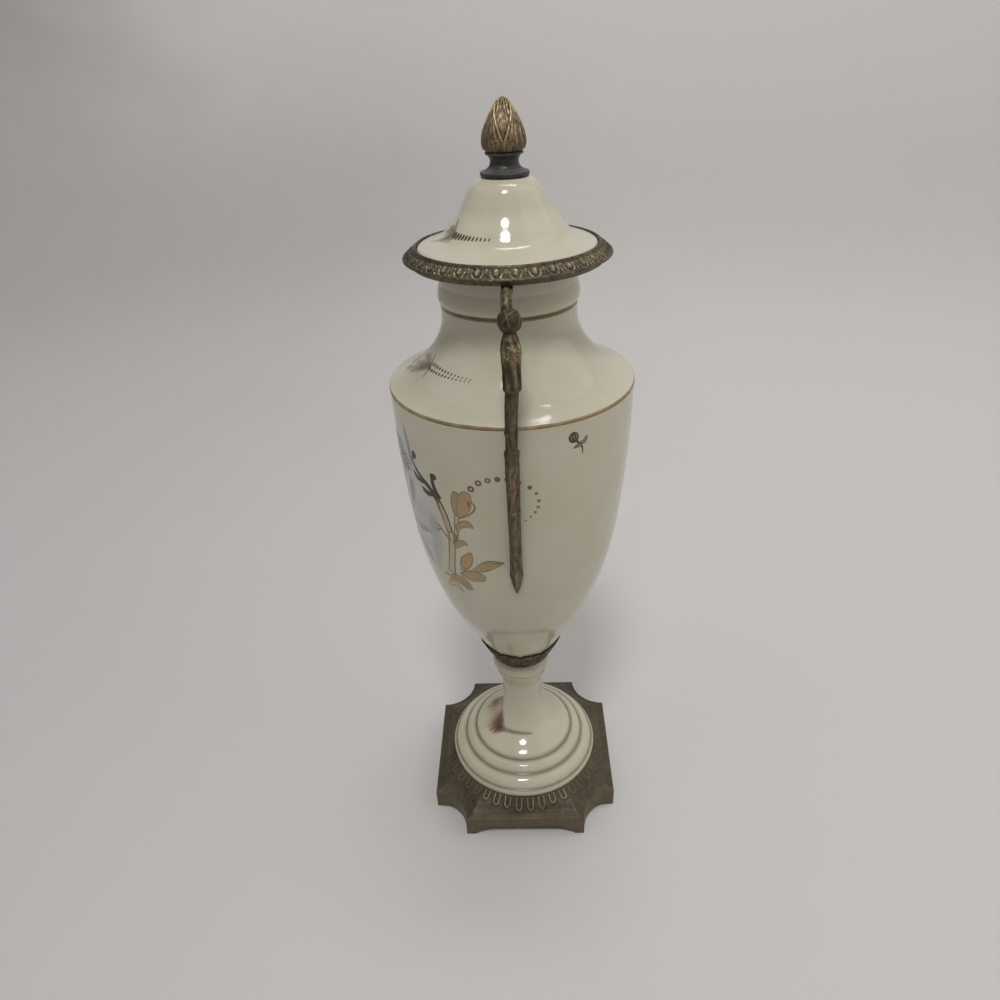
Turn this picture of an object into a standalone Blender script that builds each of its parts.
"""Mantel urn: a covered porcelain urn with bronze mounts, on a notched bronze base.

The urn stands on the floor at z = 0 with its axis on Z. Its painted front faces -Y and the
two bronze handles stand out at +X and -X. Lengths are in millimetres and become metres in
the meshes. Porcelain walls are hollow and of true thickness, and the lid lifts off.
"""
import math

import bmesh
import bpy
from mathutils import Vector

MM = 0.001
GAP = 0.3              # between two pieces that touch

# Base plate: a square with a quarter circle bitten out of each corner
PLATE_HALF = 46.7
PLATE_RAYS = 88
HORN_RAY = 8           # the ray that meets the end of a straight side
PLATE_RIM_Z = 11.9
PLATE_BORDER = 3.0
PLATE_BORDER_RISE = 0.7
PLATE_SEAT_Z = 18.5
PLATE_SKIN = 3.0
ARCH_RISE = 6.0        # under the straight sides
NOTCH_RISE = 2.2       # under the bitten corners
TONGUES = 44
TONGUE_HEIGHT = 0.9

# Porcelain
FOOT_RADIUS = 38.2
KNOP_TOP_Z = 84.2
BOWL_BOTTOM_Z = 85.8
WALL = 3.6
SHOULDER_RADIUS = 48.4
SHOULDER_Z = 233.0
NECK_RADIUS = 25.9
NECK_TOP_Z = 277.5
LID_RADIUS = 32.6
LID_SEAT_Z = 281.3
LID_TOP_Z = 305.7

# Bronze mounts
COLLAR_LEAVES = 12
COLLAR_TIP_Z = 98.2
COLLAR_DIP = 1.8
COLLAR_SKIN = 1.0
RING_RADIUS = 38.2
RING_BORE = 22.6
RING_EGGS = 36
EGG_HEIGHT = 0.6
FINIAL_BASE_TOP_Z = 313.5
CONE_TIP_Z = 330.0
CONE_RADIUS = 7.6
CONE_LEAVES = 4
CONE_LEAF_RISE = 0.28
INNER_LEAVES_Z = 322.5
BALL_RADIUS = 4.0
BALL_REACH = 53.5
BALL_Z = 272.1

ROUND_SIDES = 28
SMALL_SIDES = 20
BAR_SIDES = 10
SHARP_ANGLE = math.radians(40)


# --- Curves and profiles -------------------------------------------------------------------

def smooth_curve(points, steps):
    """A Catmull-Rom curve through the points, with this many steps between neighbours."""
    ends = [points[0]] + list(points) + [points[-1]]
    curve = []
    for i in range(1, len(ends) - 2):
        before, start, end, after = ends[i - 1:i + 3]
        for step in range(steps):
            t = step / steps
            curve.append(tuple(
                0.5 * (2 * b + (c - a) * t + (2 * a - 5 * b + 4 * c - d) * t * t
                       + (3 * b - a - 3 * c + d) * t ** 3)
                for a, b, c, d in zip(before, start, end, after)))
    curve.append(tuple(points[-1]))
    return curve


def offset_inwards(profile, distance):
    """The (radius, height) profile moved towards its left hand, seen along it going up."""
    moved = []
    for i, (radius, height) in enumerate(profile):
        before = profile[max(i - 1, 0)]
        after = profile[min(i + 1, len(profile) - 1)]
        along_r = after[0] - before[0]
        along_z = after[1] - before[1]
        length = math.hypot(along_r, along_z)
        moved.append((radius - distance * along_z / length,
                      height + distance * along_r / length))
    return moved


def on_circle(radius, angle, height):
    return Vector((radius * math.cos(angle), radius * math.sin(angle), height)) * MM


# --- Meshes --------------------------------------------------------------------------------

def mesh_from_rings(name, rings, closed=False):
    """A skin over rings of equal count, its end rings filled in or, if closed, joined up."""
    build = bmesh.new()
    loops = [[build.verts.new(point) for point in ring] for ring in rings]
    neighbours = list(zip(loops, loops[1:]))
    if closed:
        neighbours.append((loops[-1], loops[0]))
    for lower, upper in neighbours:
        count = max(len(lower), len(upper))
        for i in range(count):
            j = (i + 1) % count
            corners = [lower[i % len(lower)], lower[j % len(lower)],
                       upper[j % len(upper)], upper[i % len(upper)]]
            corners = [v for k, v in enumerate(corners) if v not in corners[:k]]
            build.faces.new(corners)
    if not closed:
        for end in (loops[0], loops[-1]):
            if len(end) > 2:
                build.faces.new(end)
    bmesh.ops.recalc_face_normals(build, faces=build.faces)
    mesh = bpy.data.meshes.new(name)
    build.to_mesh(mesh)
    build.free()
    mesh.shade_smooth()
    mesh.set_sharp_from_angle(angle=SHARP_ANGLE)
    return mesh


def turned_rings(profile, sides, relief=None):
    """Rings of a (radius, height) profile turned about Z; relief(i, angle) moves a point out."""
    rings = []
    for i, (radius, height) in enumerate(profile):
        if radius < 0.01:
            rings.append([on_circle(0.0, 0.0, height)])
            continue
        ring = []
        for side in range(sides):
            angle = 2 * math.pi * side / sides
            out_r, out_z = relief(i, angle) if relief else (0.0, 0.0)
            ring.append(on_circle(radius + out_r, angle, height + out_z))
        rings.append(ring)
    return rings


def add_object(name, mesh, material, turn=0.0):
    obj = bpy.data.objects.new(name, mesh)
    obj.rotation_euler.z = turn
    if not mesh.materials:
        mesh.materials.append(material)
    bpy.context.scene.collection.objects.link(obj)
    return obj


def fused_mesh(name, meshes):
    """One mesh that is the Boolean union of closed meshes, the first one carrying the rest."""
    body = bpy.data.objects.new(name, meshes[0])
    bpy.context.scene.collection.objects.link(body)
    helpers = []
    for mesh in meshes[1:]:
        helper = bpy.data.objects.new(mesh.name, mesh)
        helper.hide_render = True
        helper.display_type = 'WIRE'
        bpy.context.scene.collection.objects.link(helper)
        union = body.modifiers.new(mesh.name, 'BOOLEAN')
        union.operation = 'UNION'
        union.object = helper
        helpers.append(helper)
    graph = bpy.context.evaluated_depsgraph_get()
    result = bpy.data.meshes.new_from_object(body.evaluated_get(graph))
    result.name = name
    for obj in [body] + helpers:
        bpy.data.objects.remove(obj)
    return result


# --- Materials -----------------------------------------------------------------------------

def make_material(name, colour, roughness, metallic):
    material = bpy.data.materials.new(name)
    material.use_nodes = True
    shader = material.node_tree.nodes["Principled BSDF"]
    shader.inputs["Base Color"].default_value = (*colour, 1.0)
    shader.inputs["Roughness"].default_value = roughness
    shader.inputs["Metallic"].default_value = metallic
    material.diffuse_color = (*colour, 1.0)
    return material


def porcelain():
    return make_material("porcelain", (0.62, 0.57, 0.44), 0.15, 0.0)


def bronze():
    return make_material("bronze", (0.17, 0.13, 0.08), 0.5, 0.9)


def black_metal():
    return make_material("black_metal", (0.03, 0.03, 0.03), 0.5, 0.4)


# --- Base plate ----------------------------------------------------------------------------

def plate_outline(angle, inset):
    """Distance from the axis to the notched square, moved in by the inset, at this angle."""
    horn = math.radians(360 * HORN_RAY / PLATE_RAYS)
    notch_radius = PLATE_HALF * (1 - math.tan(horn)) + inset
    fold = abs((angle + math.pi / 4) % (math.pi / 2) - math.pi / 4)
    straight = (PLATE_HALF - inset) / math.cos(fold)
    corner = PLATE_HALF * math.sqrt(2)
    aside = math.pi / 4 - fold
    reach = notch_radius ** 2 - (corner * math.sin(aside)) ** 2
    if reach <= 0:
        return straight
    return min(straight, corner * math.cos(aside) - math.sqrt(reach))


def plate_underside(angle):
    """Height of the lower edge: eight small feet, with an arch between each two."""
    ray = angle / (2 * math.pi) * PLATE_RAYS
    quarter = PLATE_RAYS // 4
    from_side = abs((ray + quarter / 2) % quarter - quarter / 2)
    if from_side > HORN_RAY:
        return NOTCH_RISE * min(1.0, max(0.0, from_side - HORN_RAY - 0.5))
    arch_end = HORN_RAY - 1
    return ARCH_RISE * min(1.0, max(0.0, (arch_end - from_side) / 2)) ** 0.6


def tongue_relief(angle):
    """Radiating tongues round the foot, one ridge each."""
    return TONGUE_HEIGHT * (0.5 - 0.5 * math.cos(TONGUES * angle))


def plate_rings():
    """Rings from the middle of the top, out over the edge and back under the hollow side."""
    angles = [2 * math.pi * ray / PLATE_RAYS for ray in range(PLATE_RAYS)]
    slope_z = PLATE_RIM_Z + PLATE_BORDER_RISE

    def blended(share, height, raised):
        """A ring on the sloping band, share 0 at the seat and 1 at the border's inner line."""
        ring = []
        for angle in angles:
            outer = plate_outline(angle, PLATE_BORDER)
            radius = FOOT_RADIUS + 0.5 + share * (outer - FOOT_RADIUS - 0.5)
            ring.append(on_circle(radius, angle, height + raised * tongue_relief(angle)))
        return ring

    def bordered(inset, height_at):
        return [on_circle(plate_outline(a, inset), a, height_at(a)) for a in angles]

    rise = PLATE_SEAT_Z - slope_z
    return [
        [on_circle(0.0, 0.0, PLATE_SEAT_Z)],
        blended(0.0, PLATE_SEAT_Z, 0.0),
        blended(0.12, PLATE_SEAT_Z - 0.12 * rise, 1.0),
        blended(0.55, PLATE_SEAT_Z - 0.50 * rise, 1.0),
        blended(0.80, PLATE_SEAT_Z - 0.86 * rise, 0.0),
        bordered(PLATE_BORDER, lambda a: slope_z - 0.4),
        bordered(PLATE_BORDER - 0.4, lambda a: slope_z),
        bordered(0.5, lambda a: PLATE_RIM_Z),
        bordered(0.0, lambda a: PLATE_RIM_Z - 0.5),
        bordered(0.0, plate_underside),
        bordered(PLATE_SKIN, plate_underside),
        bordered(PLATE_SKIN, lambda a: PLATE_RIM_Z - PLATE_SKIN),
        [on_circle(FOOT_RADIUS - 2, a, PLATE_SEAT_Z - PLATE_SKIN) for a in angles],
        [on_circle(0.0, 0.0, PLATE_SEAT_Z - PLATE_SKIN)],
    ]


def base_plate(material):
    add_object("base_plate", mesh_from_rings("base_plate", plate_rings()), material)


# --- Porcelain foot ------------------------------------------------------------------------

def foot_profile():
    bottom = PLATE_SEAT_Z + GAP
    lip = [(FOOT_RADIUS, bottom), (FOOT_RADIUS, 20.6), (37.2, 21.4)]
    first_tier = [(36.6, 21.6), (35.7, 24.0), (33.9, 25.6), (31.5, 26.3)]
    second_tier = [(30.8, 26.5), (30.0, 28.6), (28.4, 30.0), (25.9, 30.6)]
    dome = [(25.1, 30.8), (24.4, 32.5), (22.4, 33.8), (18.2, 36.0)]
    stem = [(14.4, 38.9), (11.9, 42.8), (10.5, 47.6), (9.9, 54.0), (9.9, 64.0)]
    knop = [(10.6, 69.0), (12.8, 72.6), (14.1, 76.6), (14.0, 80.4), (11.4, KNOP_TOP_Z)]
    hollow = [(0.0, 78.5), (6.5, 76.5), (5.8, 66.0), (6.8, 46.0), (11.5, 36.4),
              (21.4, 29.0), (28.0, 25.0), (33.6, bottom)]
    return lip + first_tier + second_tier + dome + stem + knop, hollow


def foot(material):
    outside, hollow = foot_profile()
    profile = [(0.0, KNOP_TOP_Z)] + outside[::-1] + hollow[::-1]
    add_object("foot", mesh_from_rings("foot", turned_rings(profile, ROUND_SIDES)), material)


# --- Urn body and its leaf collar ----------------------------------------------------------

def cupped_profile():
    """Outside of the bowl's lowest part, the part that stands in the leaf collar."""
    return [(13.3, BOWL_BOTTOM_Z + 0.8), (15.6, 90.2), (17.6, 94.2), (19.6, COLLAR_TIP_Z)]


def bowl_profile():
    """Outside of the body's lower part, from its flat bottom up to the shoulder edge."""
    above = [(23.1, 105.0), (26.9, 112.0), (30.5, 119.0), (34.2, 127.0), (39.4, 143.0),
             (43.4, 161.0), (46.1, 183.0), (47.8, 208.0), (SHOULDER_RADIUS, SHOULDER_Z - 0.6)]
    return [(11.6, BOWL_BOTTOM_Z)] + cupped_profile() + above


def neck_profile():
    """Outside from the shoulder edge up the hollow curve of the neck to its mouth."""
    curve = [(SHOULDER_RADIUS - 0.3, SHOULDER_Z + 0.2), (45.4, 234.6), (39.6, 237.6),
             (34.3, 241.8), (30.3, 246.4), (27.6, 251.0), (26.1, 255.4), (25.8, 258.6)]
    bead = [(26.1, 261.4), (NECK_RADIUS + 0.8, 263.4), (NECK_RADIUS + 0.7, 265.6)]
    return curve + bead + [(NECK_RADIUS, 269.4), (NECK_RADIUS, NECK_TOP_Z)]


def body_inside():
    bowl = offset_inwards(bowl_profile()[4::2], WALL)
    neck = [(44.4, SHOULDER_Z - WALL), (38.0, 234.6), (30.6, 240.0), (25.0, 248.0),
            (NECK_RADIUS - WALL, 256.0), (NECK_RADIUS - WALL, NECK_TOP_Z)]
    return [(0.0, BOWL_BOTTOM_Z + WALL), (11.0, BOWL_BOTTOM_Z + WALL + 1.0)] + bowl[:-1] + neck


def body(material):
    outside = [(0.0, BOWL_BOTTOM_Z)] + bowl_profile() + neck_profile()
    profile = outside + body_inside()[::-1]
    add_object("body", mesh_from_rings("body", turned_rings(profile, ROUND_SIDES)), material)


def leaf_collar(material):
    """A thin cup that holds the bowl, its upper edge notched between broad leaves."""
    bottom = KNOP_TOP_Z + GAP
    inside = offset_inwards(cupped_profile(), -GAP)
    outside = offset_inwards(cupped_profile(), -GAP - COLLAR_SKIN)[1:]
    profile = [(0.0, bottom), (12.0, bottom), (14.4, bottom + 1.0)] + outside + inside[::-1]
    profile += [(11.6, bottom + COLLAR_SKIN), (0.0, bottom + COLLAR_SKIN)]
    lip = 2 + len(outside)

    def leaf_notches(i, angle):
        if i not in (lip, lip + 1):
            return 0.0, 0.0
        dip = COLLAR_DIP * max(0.0, math.cos(COLLAR_LEAVES * angle))
        return -0.52 * dip, -dip

    rings = turned_rings(profile, 3 * COLLAR_LEAVES, leaf_notches)
    add_object("leaf_collar", mesh_from_rings("leaf_collar", rings), material)


# --- Rim ring and lid ----------------------------------------------------------------------

def rim_ring(material):
    """The mouth ring: a ledge for the lid inside and a band of eggs sloping out and down."""
    under = NECK_TOP_Z + GAP
    ledge = LID_SEAT_Z - GAP
    inside = [(RING_BORE, under), (RING_BORE, ledge), (LID_RADIUS + GAP, ledge),
              (LID_RADIUS + GAP, 283.9), (33.8, 284.0), (34.4, 283.5)]
    band = [(36.2, 282.4)]
    outside = [(37.4, 280.9), (RING_RADIUS, 280.3), (RING_RADIUS, 279.4), (36.2, 278.5),
               (35.4, under)]

    def eggs(i, angle):
        if i != len(inside):
            return 0.0, 0.0
        swell = EGG_HEIGHT * (0.5 - 0.5 * math.cos(RING_EGGS * angle))
        return 0.7 * swell, 0.7 * swell

    rings = turned_rings(inside + band + outside, 2 * RING_EGGS, eggs)
    add_object("rim_ring", mesh_from_rings("rim_ring", rings, closed=True), material)


def lid(material):
    """Bell-shaped cover: a flat rim on the ring's ledge and a short skirt inside the neck."""
    skirt = RING_BORE - 2 * GAP
    bell = smooth_curve([(31.6, 284.0), (24.0, 286.9), (16.5, 295.6), (12.4, 302.9),
                         (8.6, LID_TOP_Z)], 2)
    inside = [(0.0, 302.4), (7.4, 300.9), (13.0, 293.4), (18.6, 286.0), (skirt - 2.6, 282.0),
              (skirt - 2.6, 274.6), (skirt, 274.6), (skirt, LID_SEAT_Z),
              (LID_RADIUS, LID_SEAT_Z)]
    profile = [(0.0, LID_TOP_Z)] + bell[::-1] + [(LID_RADIUS, 283.3)] + inside[::-1]
    add_object("lid", mesh_from_rings("lid", turned_rings(profile, ROUND_SIDES)), material)


# --- Finial --------------------------------------------------------------------------------

def finial_base(material):
    bottom = LID_TOP_Z + GAP
    profile = [(0.0, bottom), (8.5, bottom), (8.6, bottom + 0.9), (7.9, bottom + 1.6)]
    profile += smooth_curve([(6.2, 307.9), (5.0, 309.9), (5.4, 311.6), (6.6, 312.9)], 2)
    profile += [(6.6, FINIAL_BASE_TOP_Z), (0.0, FINIAL_BASE_TOP_Z)]
    rings = turned_rings(profile, SMALL_SIDES)
    add_object("finial_base", mesh_from_rings("finial_base", rings), material)


def finial_cone(material):
    """A closed cone: four broad outer leaves, and four inner ones between and above them."""
    bottom = FINIAL_BASE_TOP_Z + GAP
    profile = [(0.0, bottom), (6.1, bottom)]
    profile += smooth_curve([(7.0, 314.8), (CONE_RADIUS, 317.0), (6.6, 321.4), (4.6, 325.4),
                             (2.2, 328.6)], 3)
    profile += [(0.0, CONE_TIP_Z)]

    def leaves(i, angle):
        if i < 3 or i > len(profile) - 3:
            return 0.0, 0.0
        swell = CONE_LEAF_RISE * math.cos(CONE_LEAVES * angle)
        return (-swell if profile[i][1] < INNER_LEAVES_Z else swell), 0.0

    rings = turned_rings(profile, 4 * CONE_LEAVES, leaves)
    add_object("finial_cone", mesh_from_rings("finial_cone", rings), material)


# --- Handles -------------------------------------------------------------------------------

def handle_strap():
    """The strap that leaves the ring's underside and bends over into the round bud."""
    stations = smooth_curve(
        [(30.0, 276.3, 4.2, 2.2), (36.5, 276.4, 3.8, 2.2), (42.6, 278.2, 3.6, 2.4),
         (48.0, 279.2, 3.6, 2.6), (51.8, 276.8, 3.7, 3.0), (BALL_REACH - 0.4, 273.0, 3.6, 3.0)],
        2)
    rings = []
    for i, (reach, height, width, depth) in enumerate(stations):
        before = stations[max(i - 1, 0)]
        after = stations[min(i + 1, len(stations) - 1)]
        along = Vector((after[0] - before[0], 0.0, after[1] - before[1])).normalized()
        rings.append(bar_ring(reach, height, width, depth, Vector((-along.z, 0.0, along.x))))
    return mesh_from_rings("handle_strap", rings)


def bar_ring(reach, height, width, depth, outwards):
    """One oval section of a handle, its width along Y and its depth along this direction."""
    ring = []
    for side in range(BAR_SIDES):
        angle = 2 * math.pi * (side + 0.5) / BAR_SIDES
        offset = outwards * (depth / 2 * math.cos(angle))
        offset.y = width / 2 * math.sin(angle)
        ring.append((Vector((reach, 0.0, height)) + offset) * MM)
    return ring


def handle_ball():
    """The round bud at the handle's highest bend."""
    build = bmesh.new()
    bmesh.ops.create_uvsphere(build, u_segments=14, v_segments=9, radius=BALL_RADIUS * MM)
    bmesh.ops.translate(build, vec=Vector((BALL_REACH, 0.0, BALL_Z)) * MM, verts=build.verts)
    mesh = bpy.data.meshes.new("handle_ball")
    build.to_mesh(mesh)
    build.free()
    return mesh


def handle_bar():
    """Down from the bud: drooping leaf with a stepped lower edge, bar, cap, sheath, spear tip."""
    leaf = [(54.3, 270.0, 2.6, 2.6), (54.7, 267.7, 3.5, 3.4), (55.3, 266.5, 5.6, 4.8),
            (55.9, 264.7, 7.0, 6.0), (56.3, 261.8, 7.1, 6.3), (56.6, 257.4, 6.5, 6.0),
            (56.9, 254.2, 6.5, 5.8), (57.3, 251.7, 6.5, 5.6), (57.2, 250.9, 6.0, 5.2)]
    bar = [(56.4, 250.5, 4.6, 4.2), (56.0, 239.0, 4.3, 4.0), (55.1, 228.2, 4.1, 4.0)]
    cap = [(55.0, 227.8, 4.8, 4.7), (54.9, 227.2, 5.6, 5.5), (54.7, 224.0, 5.6, 5.5),
           (54.6, 223.4, 5.0, 4.9)]
    sheath = [(54.1, 220.0, 5.0, 4.8), (52.4, 208.0, 4.7, 4.4), (49.9, 186.0, 4.5, 3.8),
              (47.7, 173.0, 4.8, 3.2), (46.7, 168.4, 5.4, 2.8), (44.9, 162.0, 3.4, 1.9),
              (43.2, 156.4, 0.9, 0.8)]
    outwards = Vector((1.0, 0.0, 0.0))
    rings = [bar_ring(*station, outwards) for station in leaf + bar + cap + sheath]
    return mesh_from_rings("handle_bar", rings)


def handles(material):
    mesh = fused_mesh("handle", [handle_bar(), handle_ball(), handle_strap()])
    add_object("handle_right", mesh, material)
    add_object("handle_left", mesh, material, turn=math.pi)


# --- The whole urn -------------------------------------------------------------------------

def build_urn():
    for obj in list(bpy.data.objects):
        bpy.data.objects.remove(obj)
    cream = porcelain()
    brown = bronze()
    base_plate(brown)
    foot(cream)
    leaf_collar(brown)
    body(cream)
    rim_ring(brown)
    handles(brown)
    lid(cream)
    finial_base(black_metal())
    finial_cone(brown)


build_urn()
